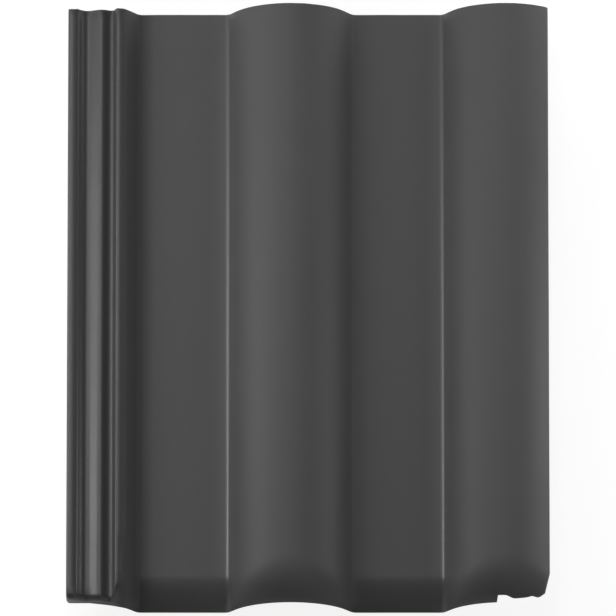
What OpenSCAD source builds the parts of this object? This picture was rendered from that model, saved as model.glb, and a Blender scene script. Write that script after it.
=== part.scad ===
// Interlocking concrete roof tile with two broad rolls.
// Lies as it rests unheld: nose lip and hanging nibs on the floor.
// X runs across the tile, from the water channel (-X) to the cover flap (+X).
// Y runs up the slope, from the nose (-Y) to the head (+Y). Z is up.

/* [Overall] */
// Width over the water channel and the cover flap
tile_w = 330; // [290:1:400]
// Length from the nose to the head
tile_l = 420; // [330:1:510]
// Thickness in the pans and at the crests
body_t = 12.5; // [9:0.5:15]

/* [Rolls] */
// Height of a roll above the pans
roll_h = 30.3; // [25:0.1:37]
// Outer radius over a crest
roll_r = 43.6; // [38:0.1:46]
// Inner radius under a crest
under_r = 39.6; // [32:0.1:42]
// Steepest slope of a roll's flank, in degrees
flank_deg = 60; // [50:0.5:64]
// Fillet where a flank meets the pan
foot_r = 4.6; // [2:0.1:7]
// Least height above the pan at which the arc turns into the flank
arc_foot = 3.5; // [2:0.5:6]

/* [Water channel] */
// Centre of the neighbour's roll, from the channel edge
lap_crest_x = 5.8; // [4:0.1:8]
// Width of the outer rim
rim_w = 6.6; // [5:0.1:7]
// Height of the outer rim above the pans
rim_h = 15; // [13:0.1:16]
// Width of the first groove, from the rim to its lowest line
groove_1_w = 7.1; // [6:0.1:8]
// Height of the first groove's floor
groove_1_h = 10.2; // [9:0.1:11]
// Run from the first groove to the crest of the inner ridge
ridge_w = 9.2; // [8:0.1:10]
// Height of the inner ridge
ridge_h = 13.5; // [12:0.1:14]
// Run from the inner ridge to the second groove
groove_2_w = 6.6; // [5:0.1:7]
// Height of the second groove's floor
groove_2_h = 11.2; // [10:0.1:12]
// Flat floor of the second groove
groove_2_flat = 1; // [0.5:0.1:1.5]
// Run of the steep wall beside the main ridge
wall_w = 3.5; // [3:0.1:4]
// Height of the main ridge
main_ridge_h = 17.6; // [16:0.1:18]
// Thickness under the first groove
channel_t = 9.2; // [8:0.1:11]
// Extra depth under the channel's front end
channel_lip = 0.7; // [0:0.1:1.5]
// Set-back of the channel's front end
channel_setback = 2.1; // [1:0.1:3]
// Width over which the front end comes forward again beside the main ridge
setback_run = 20; // [10:1:26]
// Rounding over the channel's front end
channel_end_r = 4; // [2:0.5:5]
// Rounding of the rim's front corner in plan
corner_r = 3; // [1:0.5:5]

/* [Cover flap] */
// Reach of the flap beyond the last crest
flap_reach = 29.6; // [27:0.1:32]
// Side lap over the next tile's channel
side_lap = 30; // [29.5:0.1:31]
// Rebate wall, measured back from the last crest
rebate_x = 6.6; // [5:0.1:9]
// Flap thickness at the rebate
flap_t = 10.3; // [9:0.1:11]
// Clearance of the drip rib above the next tile's rim
drip_gap = 2; // [1.5:0.1:3]
// Centre of the drip rib, from the last crest
drip_run = 8.2; // [7.5:0.1:9]
// Half width of the drip rib at its foot
drip_half = 9; // [6:0.1:10]
// Lead of the hollow's top line ahead of the next tile's inner ridge
hollow_lead = 3.4; // [3:0.1:4]
// Clearance of the hollow above the next tile's inner ridge
hollow_gap = 2.6; // [1.5:0.1:4]
// Lead of the sealing rib ahead of the next tile's second groove
seal_lead = 2.7; // [2.2:0.1:3.2]
// Clearance of the sealing rib in the next tile's second groove
seal_gap = 0.6; // [0.5:0.1:1.5]
// Run from the sealing rib up to the flap's edge
edge_run = 1.8; // [1.2:0.1:2.5]
// Clearance of the flap's edge above the second groove
edge_gap = 1.5; // [1:0.1:3]
// How much the flap's corner narrows at the nose
taper_w = 4.8; // [2:0.1:6]
// Length over which the flap's corner narrows
taper_l = 20; // [12:1:22]

/* [Nose] */
// Length of the rounded nose in the pans
nose_l = 21.5; // [17:0.5:26]
// How much longer the nose is over a crest
nose_grow = 9.5; // [0:0.5:12]
// How much shorter the nose is halfway up a flank
nose_dip = 4.5; // [0:0.5:6]
// Fullness of the nose's curve in the pans
nose_full = 1.65; // [1.4:0.05:2.2]
// Fullness of the nose's curve over a crest
crest_full = 2; // [1.6:0.05:2.2]
// Depth of the nose, from the pan down to the lip
nose_d = 18.6; // [16:0.1:23]
// Upright face left at the tip of the lip
lip_face = 1.5; // [1:0.1:2.5]
// Rounding under the tip of the lip
lip_r = 0.7; // [0.4:0.1:1.4]
// Length of the lip's bearing underside
lip_l = 9; // [6:0.5:12]
// Run of the slope behind the lip
lip_slope = 6; // [4:0.5:9]

/* [Weather ribs] */
// Number of ribs across the underside behind the lip
rib_count = 2; // [1:1:3]
// Distance from the nose to the first rib
rib_start = 36; // [30:1:45]
// Spacing of the ribs
rib_pitch = 24; // [18:1:30]
// Width of a rib where it leaves the underside
rib_w = 11; // [8:0.5:14]
// Width of a rib at its edge
rib_edge = 5; // [3:0.5:7]
// Depth of a rib
rib_d = 4.5; // [3:0.5:6]

/* [Hanging nibs] */
// Distance from the head to the nibs' bearing faces
nib_setback = 23; // [18:0.5:30]
// Width of a nib where it leaves the pan
nib_w = 44; // [30:1:50]
// Draft of a nib's sides, in degrees
nib_draft = 8; // [2:1:12]
// Depth of a nib below the pan
nib_d = 16; // [10:0.5:20]
// Length of a nib's foot
nib_foot = 9; // [6:0.5:12]
// Length of a nib where it leaves the pan
nib_root = 20; // [14:0.5:22]

/* [Edges] */
// Rounding of the long upper edges
edge_r = 1.5; // [0.5:0.1:2]
// Rounding of the cut edge at the head
head_r = 0.7; // [0.4:0.1:2]

/* [Hidden] */

// Roll centres, from the channel edge
crest_2 = tile_w - flap_reach;
crest_0 = lap_crest_x;
crest_1 = (crest_0 + crest_2) / 2;
cover_w = tile_w - side_lap;

// Lines of the water channel, from its outer edge
groove_1_x = rim_w + groove_1_w;
ridge_x = groove_1_x + ridge_w;
groove_2_x = ridge_x + groove_2_w;
wall_x = groove_2_x + groove_2_flat;
main_ridge_x = wall_x + wall_w;
channel_under = groove_1_h - channel_t;

// Flap lines, from the channel edge
step_x = crest_2 - rebate_x;
step_w = 0.7;
flap_0 = step_x + step_w;
drip_x = crest_2 + drip_run;
hollow_x = cover_w + ridge_x - hollow_lead;
seal_x = cover_w + groove_2_x - seal_lead;
edge_x = seal_x + edge_run;

// Heights of the flap's underside, each a clearance above the next tile
drip_h = rim_h + drip_gap;
hollow_h = ridge_h + hollow_gap;
seal_h = channel(seal_x - cover_w) + seal_gap;
edge_h = groove_2_h + edge_gap;

// Nose and nibs
drop_d = nose_d - lip_face;
hang_l = tile_l - nib_setback;

// Where the channel's underside runs into the roll's, and how softly
inner_x = crest_0 + roll_r + 6;
under_blend = 5;
lip_blend = 8;

// Steps along the curves
arc_steps = 20;
nose_steps = 16;
head_steps = 3;
// Least spacing of two lines across the tile
least_step = 0.5;
// How far joined shapes reach into the shell
over = 2;

// ---- Section across the tile -------------------------------------------------

// Angle of the arc before the straight flank, kept above the foot
function arc_end(h, r) = min(flank_deg, acos(1 - (h - arc_foot) / r));

// Height of a roll at distance d from its crest
function roll_z(d, h, r) =
    let (a = arc_end(h, r))
    let (x_a = r * sin(a), z_a = h - r * (1 - cos(a)))
    let (t = foot_r * tan(a / 2))
    let (x_foot = x_a + z_a / tan(a))
    let (x_end = x_foot + t, x_tan = x_foot - t * cos(a))
    let (q = abs(d))
    q <= x_a ? h - r + sqrt(r * r - q * q)
    : q <= x_tan ? z_a - (q - x_a) * tan(a)
    : q < x_end ? foot_r - sqrt(max(0, foot_r * foot_r - pow(x_end - q, 2)))
    : 0;

// Heights of the three rolls, outside and inside
function rolls(x, h, r) =
    max(roll_z(x - crest_0, h, r), roll_z(x - crest_1, h, r), roll_z(x - crest_2, h, r));
function skin(x) = rolls(x, roll_h, roll_r);

// Half a cosine wave from a to b while x runs from x0 to x1
function wave(x, x0, x1, a, b) = a + (b - a) * (1 - cos(180 * (x - x0) / (x1 - x0))) / 2;

// Water channel: rim, groove, inner ridge, groove, steep wall, main ridge
function channel(x) =
    x <= rim_w ? rim_h
    : x <= groove_1_x ? groove_1_h + (rim_h - groove_1_h) * pow((groove_1_x - x) / groove_1_w, 2)
    : x <= ridge_x ? wave(x, groove_1_x, ridge_x, groove_1_h, ridge_h)
    : x <= groove_2_x ? wave(x, ridge_x, groove_2_x, ridge_h, groove_2_h)
    : x <= wall_x ? groove_2_h
    : x <= main_ridge_x ? wave(x, wall_x, main_ridge_x, groove_2_h, main_ridge_h)
    : main_ridge_h;

// The lower of two heights, blended over k
function soft_min(a, b, k) = min(a, b) - pow(max(k - abs(a - b), 0), 2) / (4 * k);

// Underside of the cover flap, over the next tile's channel
function flap_z(x) =
    x <= drip_x - drip_half ? skin(x) - flap_t
    : x <= drip_x ? wave(x, drip_x - drip_half, drip_x, skin(drip_x - drip_half) - flap_t, drip_h)
    : x <= hollow_x ? wave(x, drip_x, hollow_x, drip_h, hollow_h)
    : x <= seal_x ? wave(x, hollow_x, seal_x, hollow_h, seal_h)
    : x <= edge_x ? wave(x, seal_x, edge_x, seal_h, edge_h)
    : edge_h;

// Underside of the body, and of the lip at the nose
function under(x) =
    let (z = rolls(x, roll_h, under_r) - body_t)
    x >= flap_0 ? flap_z(x)
    : x < inner_x ? soft_min(channel_under, z, under_blend)
    : z;
function lip_z(x) =
    let (z = skin(x) - nose_d)
    x >= flap_0 ? flap_z(x)
    : x < inner_x ? soft_min(channel_under - channel_lip, z, lip_blend)
    : z;

// ---- Nose ---------------------------------------------------------------------

// Share of a roll's height at x, and the nose's length and fullness there
function share(x) = min(1, skin(x) / roll_h);
function nose_len(x) =
    let (s = share(x)) nose_l - 4 * nose_dip * s * (1 - s) + nose_grow * pow(s, 3);
function fullness(x) = nose_full + (crest_full - nose_full) * share(x);

// Drop of the skin at distance u from the nose, and where the drop reaches d
function bow(t, p) = 1 - pow(max(0, 1 - pow(max(0, t), p)), 1 / p);
function drop(x, u) = drop_d * bow(1 - u / nose_len(x), fullness(x));
function nose_at(x, d) = nose_len(x) * bow(1 - d / drop_d, fullness(x));

// Front end of each line across: set back at the channel, and where the flap is thin
function front(x) =
    x < main_ridge_x + over ? channel_setback * min(1, (main_ridge_x + over - x) / setback_run)
    : x >= flap_0 ? nose_at(x, skin(x) - flap_z(x) - lip_face / 2)
    : 0;

// Rounding of radius r, by distance from the edge
function round_off(d, r) = d >= r ? 0 : r - sqrt(max(0, r * r - pow(r - d, 2)));

// Right-hand edge in plan, at distance u from the nose
function right_edge(u) = tile_w - taper_w * max(0, 1 - u / taper_l);
function plan_x(x, u, d) =
    x > flap_0 ? flap_0 + (x - flap_0) * (right_edge(u) - flap_0) / (tile_w - flap_0)
    : x < rim_w ? x + round_off(d, corner_r) * (1 - x / rim_w)
    : x;

// Upper surface: the skin runs over the nose, and the channel is let into it
function top_z(x, x_p, u, d) =
    let (z = skin(x_p) - drop(x, u))
    let (c = x < crest_0 + arc_x ? min(z, channel(x) - round_off(d, channel_end_r)) : z)
    c - round_off(x, edge_r) - round_off(tile_w - x, edge_r);

// Lower surface: the lip fades into the body's underside
function low_z(x, x_p, u, d) =
    let (k = min(1, max(0, (u - lip_l) / lip_slope)))
    let (b = under(x_p), l = lip_z(x_p))
    x >= flap_0 ? flap_z(x) + round_off(d, lip_r / 3)
    : min(b, l + (b - l) * k) + round_off(d, lip_r);

// Stops along the tile: the nose, then the cut edge at the head
function u_at(x, j) =
    j <= nose_steps ? front(x) + (nose_len(x) - front(x)) * (1 - cos(180 * j / nose_steps)) / 2
    : tile_l - head_r * pow(1 - (j - nose_steps - 1) / (head_steps - 1), 2);

// One point above and one below, at line x and stop j
function upper(x, j) =
    let (u = u_at(x, j), d = u - front(x), x_p = plan_x(x, u, d))
    [x_p - tile_w / 2, u - tile_l / 2, top_z(x, x_p, u, d) - round_off(tile_l - u, head_r)];
function lower(x, j) =
    let (u = u_at(x, j), d = u - front(x), x_p = plan_x(x, u, d))
    [x_p - tile_w / 2, u - tile_l / 2, low_z(x, x_p, u, d) + round_off(tile_l - u, head_r)];

// ---- Lines across the tile -----------------------------------------------------

// Even steps from a to b, without b
function steps(a, b, n) = [for (i = [0 : n - 1]) a + (b - a) * i / n];

// Lines on one side of a roll, from its crest outwards
arc_a = arc_end(roll_h, roll_r);
tangent = foot_r * tan(arc_a / 2);
arc_x = roll_r * sin(arc_a);
foot_x = arc_x + (roll_h - roll_r * (1 - cos(arc_a))) / tan(arc_a);
function side_lines() = concat(
    [for (i = [0 : arc_steps / 2 - 1]) roll_r * sin(arc_a * i / (arc_steps / 2))],
    steps(arc_x, foot_x - tangent * cos(arc_a), 3),
    steps(foot_x - tangent * cos(arc_a), foot_x + tangent, 4),
    [foot_x + tangent]);
side = side_lines();

lines = concat(
    steps(0, edge_r, 3),
    steps(edge_r, rim_w, 2),
    steps(rim_w, groove_1_x, 5),
    steps(groove_1_x, ridge_x, 7),
    steps(ridge_x, groove_2_x, 5),
    steps(groove_2_x, wall_x, 1),
    steps(wall_x, main_ridge_x, 6),
    steps(main_ridge_x, main_ridge_x + over, 1),
    [for (s = side) if (s + crest_0 > main_ridge_x + over + least_step) crest_0 + s],
    [for (i = [len(side) - 1 : -1 : 1]) crest_1 - side[i]],
    [for (s = side) crest_1 + s],
    [for (i = [len(side) - 1 : -1 : 1]) if (side[i] > rebate_x + least_step) crest_2 - side[i]],
    [step_x],
    steps(flap_0, tile_w - edge_r, 22),
    steps(tile_w - edge_r, tile_w, 3),
    [tile_w]);

// ---- Shell ----------------------------------------------------------------------

n = len(lines);
rows = nose_steps + 1 + head_steps;
up = [for (j = [0 : rows - 1]) for (x = lines) upper(x, j)];
down = [for (j = [0 : rows - 1]) for (x = lines) lower(x, j)];
m = n * rows;
function quad(a, b, c, d) = [[a, b, c], [a, c, d]];
faces = concat(
    [for (j = [0 : rows - 2]) for (i = [0 : n - 2])
        each quad(j * n + i, (j + 1) * n + i, (j + 1) * n + i + 1, j * n + i + 1)],
    [for (j = [0 : rows - 2]) for (i = [0 : n - 2])
        each quad(m + j * n + i, m + j * n + i + 1, m + (j + 1) * n + i + 1, m + (j + 1) * n + i)],
    [for (i = [0 : n - 2]) each quad(i, i + 1, m + i + 1, m + i)],
    [for (i = [0 : n - 2])
        let (k = (rows - 1) * n + i) each quad(k + 1, k, m + k, m + k + 1)],
    [for (j = [0 : rows - 2]) each quad((j + 1) * n, j * n, m + j * n, m + (j + 1) * n)],
    [for (j = [0 : rows - 2])
        each quad(j * n + n - 1, (j + 1) * n + n - 1, m + (j + 1) * n + n - 1, m + j * n + n - 1)]);

module shell() {
    polyhedron(points = concat(up, down), faces = faces, convexity = 8);
}

// Rib across the underside, following it from the channel to the rebate
module weather_rib(u) {
    first = crest_0 + foot_x + 1;
    last = step_x - 3;
    xs = concat([first], [for (x = lines) if (x > first + 1 && x < last - 1) x], [last]);
    k = len(xs);
    w = rib_w / 2 + over * (rib_w - rib_edge) / (2 * rib_d);
    pts = [for (x = xs)
        each [
            [x - tile_w / 2, u - w - tile_l / 2, under(x) + over],
            [x - tile_w / 2, u + w - tile_l / 2, under(x) + over],
            [x - tile_w / 2, u + rib_edge / 2 - tile_l / 2, under(x) - rib_d],
            [x - tile_w / 2, u - rib_edge / 2 - tile_l / 2, under(x) - rib_d]]];
    polyhedron(
        points = pts,
        faces = concat(
            [for (i = [0 : k - 2]) for (s = [0 : 3])
                each quad(4 * i + s, 4 * i + (s + 1) % 4, 4 * i + 4 + (s + 1) % 4, 4 * i + 4 + s)],
            quad(3, 2, 1, 0),
            quad(4 * k - 4, 4 * k - 3, 4 * k - 2, 4 * k - 1)),
        convexity = 6);
}

// Hanging nib: upright bearing face towards the nose, drafted on its other sides
module nib(x) {
    inset = nib_d * tan(nib_draft);
    grow = over * tan(nib_draft);
    slope = over * (nib_root - nib_foot) / nib_d;
    a = nib_w / 2 + grow;
    b = nib_w / 2 - inset;
    translate([x - tile_w / 2, hang_l - tile_l / 2, -body_t])
        polyhedron(
            points = [
                [-a, 0, over], [a, 0, over], [a, nib_root + slope, over], [-a, nib_root + slope, over],
                [-b, 0, -nib_d], [b, 0, -nib_d], [b, nib_foot, -nib_d], [-b, nib_foot, -nib_d]],
            faces = [
                [3, 2, 1, 0], [4, 5, 6, 7], [0, 1, 5, 4], [1, 2, 6, 5], [2, 3, 7, 6], [3, 0, 4, 7]],
            convexity = 2);
}

// ---- Tile ------------------------------------------------------------------------

// Level of the lip and of the nibs below the pans, and the tilt at rest
nib_z = body_t + nib_d;
rest_deg = atan((nib_z - nose_d) / hang_l);
rest_z = tile_l / 2 * sin(rest_deg) + nose_d * cos(rest_deg);
// The box over the tilted tile is centred on the origin
front_y = -tile_l / 2 * cos(rest_deg) - (roll_h - drop_d) * sin(rest_deg);
head_y = tile_l / 2 * cos(rest_deg) + body_t * sin(rest_deg);
rest_y = -(front_y + head_y) / 2;

module tile_level() {
    shell();
    for (k = [0 : rib_count - 1]) weather_rib(rib_start + k * rib_pitch);
    nib((crest_0 + crest_1) / 2);
    nib((crest_1 + crest_2) / 2);
}

module roof_tile() {
    color([0.2, 0.2, 0.21])
        translate([0, rest_y, rest_z])
            rotate([rest_deg, 0, 0])
                tile_level();
}

roof_tile();
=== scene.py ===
import bpy
import bmesh
import math
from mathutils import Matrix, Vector, noise


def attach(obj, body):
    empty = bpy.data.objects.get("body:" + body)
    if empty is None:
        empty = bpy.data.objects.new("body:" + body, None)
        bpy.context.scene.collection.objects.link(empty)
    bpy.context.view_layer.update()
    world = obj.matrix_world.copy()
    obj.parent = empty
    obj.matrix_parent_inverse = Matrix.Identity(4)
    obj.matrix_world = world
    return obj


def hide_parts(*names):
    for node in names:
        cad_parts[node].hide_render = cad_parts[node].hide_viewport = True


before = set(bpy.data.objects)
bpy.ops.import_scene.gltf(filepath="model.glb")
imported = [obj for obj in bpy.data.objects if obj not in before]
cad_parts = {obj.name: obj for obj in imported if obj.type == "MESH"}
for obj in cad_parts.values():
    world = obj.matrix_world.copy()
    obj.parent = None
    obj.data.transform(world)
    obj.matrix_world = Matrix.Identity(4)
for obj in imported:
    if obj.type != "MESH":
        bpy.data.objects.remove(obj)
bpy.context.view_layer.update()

# ---------------------------------------------------------------------------
# Roof tile
# One piece of through-coloured concrete, pressed on a steel pallet and cut to
# length, so its underside is the pallet's cast and its top is struck smooth.
# A satin anthracite coating covers the top, the nose and the long edges.
# ---------------------------------------------------------------------------

# Tilt at rest: the nose's lip and the nibs at the head both touch the floor.
tilt = math.radians(1.42849)
pan_level = Vector((0, 0.0000087, 0.0238294))
tile_length = 0.420
tile_width = 0.330


def on_tile(point):
    """Place on the tile: from the channel edge, from the nose, and above the pans."""
    p = Vector(point) - pan_level
    along = p.y * math.cos(tilt) + p.z * math.sin(tilt)
    above = p.z * math.cos(tilt) - p.y * math.sin(tilt)
    return Vector((p.x + tile_width / 2, along + tile_length / 2, above))


# The mesh of the solid, with its doubled points joined and its flat triangles merged.
same_place = 0.00001
flat_within = math.radians(0.05)
cad_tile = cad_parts["roof_tile"]
bpy.ops.object.select_all(action="DESELECT")
tile = bpy.data.objects.new("tile_cast", cad_tile.data.copy())
bpy.context.scene.collection.objects.link(tile)
bpy.context.view_layer.objects.active = tile
tile.select_set(True)
bpy.ops.object.mode_set(mode="EDIT")
bpy.ops.mesh.select_mode(type="EDGE")
bpy.ops.mesh.select_all(action="SELECT")
bpy.ops.mesh.remove_doubles(threshold=same_place)
bpy.ops.mesh.dissolve_limited(angle_limit=flat_within)

# The pallet is worn round where it forms the nibs and the ribs.
nib_foot_level = -0.0285
nib_arris = 0.0014
nib_facets = 3
rib_lines = (0.036, 0.060)
rib_edge = 0.005
rib_arris = 0.0011
rib_facets = 2
sharp_bend = 0.3
on_line = 0.0002


def pick_edges(wanted):
    bpy.ops.mesh.select_all(action="DESELECT")
    cast = bmesh.from_edit_mesh(tile.data)
    for edge in cast.edges:
        edge.select = wanted(edge, [on_tile(v.co) for v in edge.verts])
    cast.select_flush_mode()
    bmesh.update_edit_mesh(tile.data)


def is_nib_arris(edge, ends):
    at_foot = min(p.z for p in ends) < nib_foot_level + on_line
    return at_foot and edge.calc_face_angle(0) > sharp_bend


def is_rib_arris(edge, ends):
    along_rib = abs(ends[0].y - ends[1].y) < on_line
    sharp = edge.is_convex and edge.calc_face_angle(0) > sharp_bend
    return along_rib and sharp and any(
        abs(abs(ends[0].y - line) - rib_edge / 2) < on_line for line in rib_lines)


pick_edges(is_nib_arris)
bpy.ops.mesh.bevel(offset=nib_arris, segments=nib_facets, affect="EDGES")
pick_edges(is_rib_arris)
bpy.ops.mesh.bevel(offset=rib_arris, segments=rib_facets, affect="EDGES")

# Cross cuts give the skin enough points to carry the slight unevenness of a cast face.
cut_pitch = 0.006
pan_strips = 9
pans = ((0.0535, 0.1048), (0.2008, 0.2520))
up_slope = Vector((0, math.cos(tilt), math.sin(tilt)))
for k in range(1, int(tile_length / cut_pitch)):
    cut = pan_level + up_slope * (k * cut_pitch - tile_length / 2)
    bpy.ops.mesh.select_all(action="SELECT")
    bpy.ops.mesh.bisect(plane_co=cut, plane_no=up_slope)
for left, right in pans:
    for k in range(1, pan_strips):
        across = left + (right - left) * k / pan_strips - tile_width / 2
        bpy.ops.mesh.select_all(action="SELECT")
        bpy.ops.mesh.bisect(plane_co=(across, 0, 0), plane_no=(1, 0, 0))
bpy.ops.mesh.select_all(action="SELECT")
bpy.ops.mesh.quads_convert_to_tris(quad_method="BEAUTY", ngon_method="BEAUTY")
bpy.ops.object.mode_set(mode="OBJECT")

# Unevenness of the struck face, which is steadier over the quarter of the tile by the
# channel's edge, and the torn grain of the cut at the head.
swell = 0.00005
swell_length = 0.035
most_swell = 0.00003
steady_parts = 4
torn = 0.00012
torn_length = 0.0035
torn_bias = 0.6
cut_face = 0.0009
hard_edge = math.radians(34)
skin = bmesh.new()
skin.from_mesh(tile.data)
skin.normal_update()
for v in skin.verts:
    spot = on_tile(v.co)
    steadiness = min(1.0, spot.x / tile_width * steady_parts)
    lift = swell * noise.noise(spot / swell_length) * steadiness
    if spot.y > tile_length - cut_face:
        lift += torn * (noise.noise(spot / torn_length) - torn_bias)
    v.co += v.normal * min(lift, most_swell)
skin.to_mesh(tile.data)
skin.free()
bpy.ops.object.shade_smooth_by_angle(angle=hard_edge)

# Where the sprayed coating lies: all over the top, the nose and the long edges,
# and thinning within a few millimetres of the edge underneath.
overspray = 0.004
edge_spray = 0.8
upturned = 0.06
outward = 0.85
forward = 0.5
channel_edge = 0.001
flap_edge = 0.3245
nose_end = 0.006
on_cut = 0.0001
coated = tile.data.attributes.new("coated", "FLOAT", "POINT")
cover = [0.0] * len(tile.data.vertices)
for face in tile.data.polygons:
    spot = on_tile(face.center)
    facing = face.normal
    top = facing.z > upturned
    at_edge = spot.x < channel_edge or spot.x > flap_edge
    side = abs(facing.x) > outward and at_edge
    front = facing.y < -forward and spot.y < nose_end
    if (top or side or front) and spot.y < tile_length - on_cut:
        for k in face.vertices:
            cover[k] = 1.0
for v in tile.data.vertices:
    if cover[v.index] < 1.0:
        spot = on_tile(v.co)
        inward = max(0.0, min(spot.x, tile_width - spot.x, spot.y))
        cover[v.index] = edge_spray * math.exp(-inward / overspray)
coated.data.foreach_set("value", cover)

# The wet coating runs into the water channel and the hollows at the rolls' left feet,
# and sets glossier there. The channel, and the hollow where the slope beside the main
# ridge meets the first pan, are painted darker: painted shade.
channel_width = 0.038
shade_width = 0.042
channel_fade = 0.004
channel_gloss = 0.5
left_feet = (0.1107, 0.2580)
foot_width = 0.0020
slope_foot = 0.0520
slope_foot_width = 0.0035
pooled = tile.data.attributes.new("pooled", "FLOAT", "POINT")
# A mask of where shade is painted into the coating's colour: the channel and the hollow beside
# the slope.
painted_shade = tile.data.attributes.new("painted_shade", "FLOAT", "POINT")
gloss = []
shade_values = []
for v in tile.data.vertices:
    across = on_tile(v.co).x
    in_channel = min(1.0, max(0.0, (channel_width - across) / channel_fade))
    at_foot = max(math.exp(-((across - foot) / foot_width) ** 2) for foot in left_feet)
    gloss.append(max(channel_gloss * in_channel, at_foot))
    beside_ridge = min(1.0, max(0.0, (shade_width - across) / channel_fade))
    in_hollow = math.exp(-((across - slope_foot) / slope_foot_width) ** 2)
    shade_values.append(max(beside_ridge, in_hollow))
pooled.data.foreach_set("value", gloss)
painted_shade.data.foreach_set("value", shade_values)

concrete = bpy.data.materials.new("coated_concrete")
concrete.use_nodes = True
nodes = concrete.node_tree.nodes
links = concrete.node_tree.links
shader = nodes["Principled BSDF"]
on_piece = nodes.new("ShaderNodeTexCoord").outputs["Object"]


def grain(size, detail, rough=0.5):
    """Noise with features of this size in metres."""
    node = nodes.new("ShaderNodeTexNoise")
    node.inputs["Scale"].default_value = 1 / size
    node.inputs["Detail"].default_value = detail
    node.inputs["Roughness"].default_value = rough
    links.new(on_piece, node.inputs["Vector"])
    return node.outputs["Fac"]


def spread(value, low, high, to_low, to_high):
    """The value with low to high stretched over to_low to to_high."""
    node = nodes.new("ShaderNodeMapRange")
    node.inputs["From Min"].default_value = low
    node.inputs["From Max"].default_value = high
    node.inputs["To Min"].default_value = to_low
    node.inputs["To Max"].default_value = to_high
    links.new(value, node.inputs["Value"])
    return node.outputs["Result"]


def graded(noise_value, to_low, to_high):
    """The middle range of a noise, 0.3 to 0.7, stretched over to_low to to_high."""
    return spread(noise_value, 0.3, 0.7, to_low, to_high)


def worked(kind, first, second):
    """Two values added, subtracted, multiplied or compared."""
    node = nodes.new("ShaderNodeMath")
    node.operation = kind
    for socket, value in zip(node.inputs, (first, second)):
        if isinstance(value, (int, float)):
            socket.default_value = value
        else:
            links.new(value, socket)
    return node.outputs["Value"]


def mixed(kind, share, under, over):
    """Two colours or two values, mixed by a share."""
    node = nodes.new("ShaderNodeMix")
    node.data_type = kind
    links.new(share, node.inputs["Factor"])
    ends = [s for s in node.inputs if s.enabled and s.name in ("A", "B")]
    for socket, value in zip(ends, (under, over)):
        if isinstance(value, tuple):
            socket.default_value = (*value, 1)
        else:
            links.new(value, socket)
    return next(s for s in node.outputs if s.enabled)


def painted_on(name):
    """A value carried by the points of the mesh."""
    node = nodes.new("ShaderNodeAttribute")
    node.attribute_name = name
    return node.outputs["Fac"]


# The coating ends raggedly underneath, where the spray thins over the sandy face.
sand_grain = 0.0009
cloud_grain = 0.030
ragged = 0.18
bare_below = 0.42
painted_above = 0.60
sand = grain(sand_grain, 3, 0.6)
cloud = grain(cloud_grain, 4)
sandy_edge = worked("ADD", painted_on("coated"), graded(sand, -ragged, ragged))
paint = spread(sandy_edge, bare_below, painted_above, 0, 1)

# Satin anthracite coating: even in colour, with a faint orange peel, and smoother and
# glossier where it ran together; painted darker in the channel and the hollow as painted shade.
anthracite_dark = (0.0718, 0.0718, 0.0719)
anthracite_light = (0.0776, 0.0776, 0.0777)
# A darker anthracite that stands in for shade: painted shade in the channel and the hollow.
anthracite_shaded = (0.0480, 0.0480, 0.0481)
peel_grain = 0.0045
satin_low = 0.57
satin_high = 0.62
sandy_matt = 0.015
run_in_smoothness = 0.22
run_in_gloss = 0.65
peel_height = 0.10
sand_height = 0.03
run_in = painted_on("pooled")
thin_coat = mixed("RGBA", graded(cloud, 0, 1), anthracite_dark, anthracite_light)
# Painted shade: the coating is darker in the channel and in the hollow beside the slope.
coating_colour = mixed("RGBA", painted_on("painted_shade"), thin_coat, anthracite_shaded)
satin = worked("ADD", graded(cloud, satin_low, satin_high), graded(sand, -sandy_matt, sandy_matt))
coating_rough = worked("SUBTRACT", satin, worked("MULTIPLY", run_in, run_in_smoothness))
peel = spread(grain(peel_grain, 2), 0, 1, 0, peel_height)
coating_height = worked("ADD", peel, spread(sand, 0, 1, 0, sand_height))
coating_gloss = worked("MULTIPLY", worked("MULTIPLY", run_in, paint), run_in_gloss)

# Raw through-coloured concrete: matt and sandy, with flecks of pale aggregate and
# air pores from the pallet, which are sunk and painted darker as painted shade in the holes.
raw_dark = (0.074, 0.073, 0.071)
raw_light = (0.135, 0.133, 0.129)
fleck_pale = (0.205, 0.200, 0.190)
pore_shade = (0.045, 0.045, 0.044)
patch_grain = 0.018
patch_share = 0.7
fleck_grain = 0.0021
fleck_from = 0.60
fleck_full = 0.67
fleck_strength = 0.7
pore_pitch = 0.0065
poreless = 0.55
widest_pore = 0.20
raw_smoothest = 0.78
raw_roughest = 0.92
raw_sand_height = 0.9
pore_depth = 2.2
bubbles = nodes.new("ShaderNodeTexVoronoi")
bubbles.inputs["Scale"].default_value = 1 / pore_pitch
links.new(on_piece, bubbles.inputs["Vector"])
chance = nodes.new("ShaderNodeSeparateColor")
links.new(bubbles.outputs["Color"], chance.inputs["Color"])
pore_size = spread(chance.outputs["Red"], poreless, 1, 0, widest_pore)
pore = worked("LESS_THAN", bubbles.outputs["Distance"], pore_size)
patches = graded(grain(patch_grain, 5, 0.6), 0, patch_share)
raw_shade = worked("ADD", patches, graded(sand, 0, 1 - patch_share))
fleck = spread(grain(fleck_grain, 2), fleck_from, fleck_full, 0, fleck_strength)
sanded = mixed("RGBA", fleck, mixed("RGBA", raw_shade, raw_dark, raw_light), fleck_pale)
# The pores are painted darker than the concrete around them: painted shade in the holes.
raw_colour = mixed("RGBA", pore, sanded, pore_shade)
raw_rough = graded(sand, raw_smoothest, raw_roughest)
raw_sand = spread(sand, 0.2, 0.8, 0, raw_sand_height)
raw_height = worked("SUBTRACT", raw_sand, worked("MULTIPLY", pore, pore_depth))

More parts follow.
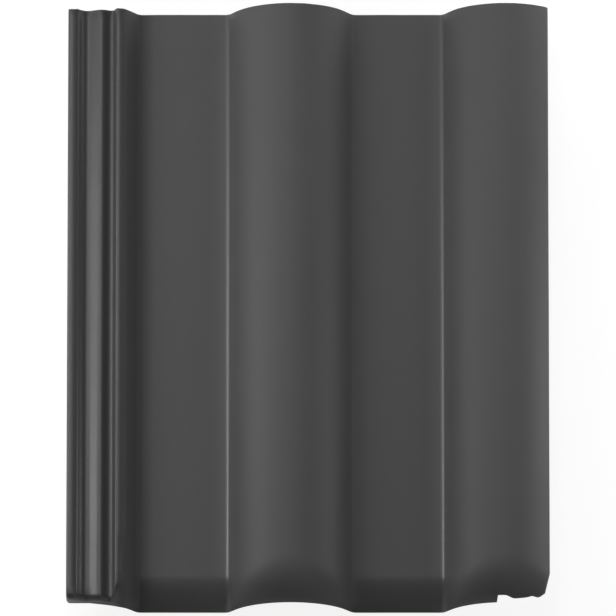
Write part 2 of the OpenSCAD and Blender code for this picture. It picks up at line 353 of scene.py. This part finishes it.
relief_depth = 0.0002
gloss_roughness = 0.3
relief = nodes.new("ShaderNodeBump")
relief.inputs["Distance"].default_value = relief_depth
links.new(mixed("FLOAT", paint, raw_height, coating_height), relief.inputs["Height"])
links.new(relief.outputs["Normal"], shader.inputs["Normal"])
links.new(mixed("RGBA", paint, raw_colour, coating_colour), shader.inputs["Base Color"])
links.new(mixed("FLOAT", paint, raw_rough, coating_rough), shader.inputs["Roughness"])
links.new(coating_gloss, shader.inputs["Coat Weight"])
shader.inputs["Coat Roughness"].default_value = gloss_roughness
tile.data.materials.clear()
tile.data.materials.append(concrete)
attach(tile, "root")
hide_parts("roof_tile")

# ---------------------------------------------------------------------------
# Floor
# A plain pale studio floor that the tile lies on. It is lifted to white where it is
# looked at and in reflections from afar, and still takes the tile's shadow.
# ---------------------------------------------------------------------------

floor_size = 6
floor_pale = 0.9
floor_matt = 0.9
dimmed_floor = 0.18
lift_to_white = 0.88
close_by = 0.06
well_clear = 0.40
bpy.ops.object.select_all(action="DESELECT")
bpy.ops.mesh.primitive_plane_add(size=floor_size, location=(0, 0, 0))
floor = bpy.context.object
floor.name = "studio_floor"
floor_paint = bpy.data.materials.new("pale_floor")
floor_paint.use_nodes = True
floor.data.materials.append(floor_paint)
nodes = floor_paint.node_tree.nodes
links = floor_paint.node_tree.links
shader = nodes["Principled BSDF"]
ray = nodes.new("ShaderNodeLightPath")
from_afar = spread(ray.outputs["Ray Length"], close_by, well_clear, 0, 1)
mirrored = worked("MULTIPLY", ray.outputs["Is Glossy Ray"], from_afar)
seen_or_mirrored = worked("MAXIMUM", ray.outputs["Is Camera Ray"], mirrored)
looked_at = worked("MAXIMUM", seen_or_mirrored, ray.outputs["Is Transmission Ray"])
links.new(spread(looked_at, 0, 1, floor_pale, dimmed_floor), shader.inputs["Base Color"])
links.new(worked("MULTIPLY", looked_at, lift_to_white), shader.inputs["Emission Strength"])
shader.inputs["Emission Color"].default_value = (1, 1, 1, 1)
shader.inputs["Roughness"].default_value = floor_matt

# ---------------------------------------------------------------------------
# Light
# Soft boxes: a near key with a long strip at the left, two near fills at the right,
# and large ones above, behind and in front.
# ---------------------------------------------------------------------------

world = bpy.data.worlds.new("studio")
bpy.context.scene.world = world
world.use_nodes = True
world.node_tree.nodes["Background"].inputs["Strength"].default_value = 0
centre = (0, 0, 0)
tile_top = (0, 0, 0.03)
strip_top = (0, 0.22, 0.03)
head_top = (0, 0.35, 0.03)
near_box = (0.12, 0.36)
strip_box = (0.12, 1.0)
large_box = (1.2, 1.1)


def softbox(name, stand, aim, size, power):
    lamp = bpy.data.lights.new(name, "AREA")
    lamp.shape = "RECTANGLE"
    lamp.size, lamp.size_y = size
    lamp.energy = power
    holder = bpy.data.objects.new(name, lamp)
    bpy.context.scene.collection.objects.link(holder)
    holder.location = stand
    facing = Vector(aim) - Vector(stand)
    holder.rotation_euler = facing.to_track_quat("-Z", "Y").to_euler()


softbox("left_key", (-0.70, 0, 0.45), tile_top, near_box, 1.62)
softbox("left_strip", (-0.70, 0.22, 0.45), strip_top, strip_box, 2.06)
softbox("right_fill", (0.60, 0, 0.20), tile_top, near_box, 1.22)
softbox("right_head_fill", (0.40, 0.35, 0.20), head_top, near_box, 0.416)
softbox("overhead", (0, 0.521, 2.954), centre, large_box, 8.09)
softbox("high_back", (-0.562, 0.973, 2.782), centre, large_box, 11.87)
softbox("left_back", (-1.324, 2.294, 1.408), centre, large_box, 20.8)
softbox("right_front", (1.324, -2.294, 1.408), centre, large_box, 8.0)

# ---------------------------------------------------------------------------
# Camera
# A long lens, looking down on the tile from the nose side.
# ---------------------------------------------------------------------------

looking_down = math.radians(75.2156) - tilt
distance = 10.45
aim_up = 0.00073
camera = bpy.data.cameras.new("view")
camera.sensor_width = 36
camera.lens = 890.24
camera.clip_end = 50
holder = bpy.data.objects.new("view", camera)
bpy.context.scene.collection.objects.link(holder)
aim = pan_level + aim_up * Vector((0, math.sin(looking_down), math.cos(looking_down)))
holder.location = aim + distance * Vector((0, -math.cos(looking_down), math.sin(looking_down)))
holder.rotation_euler = (aim - holder.location).to_track_quat("-Z", "Y").to_euler()
bpy.context.scene.camera = holder
bpy.context.scene.view_settings.view_transform = "Standard"
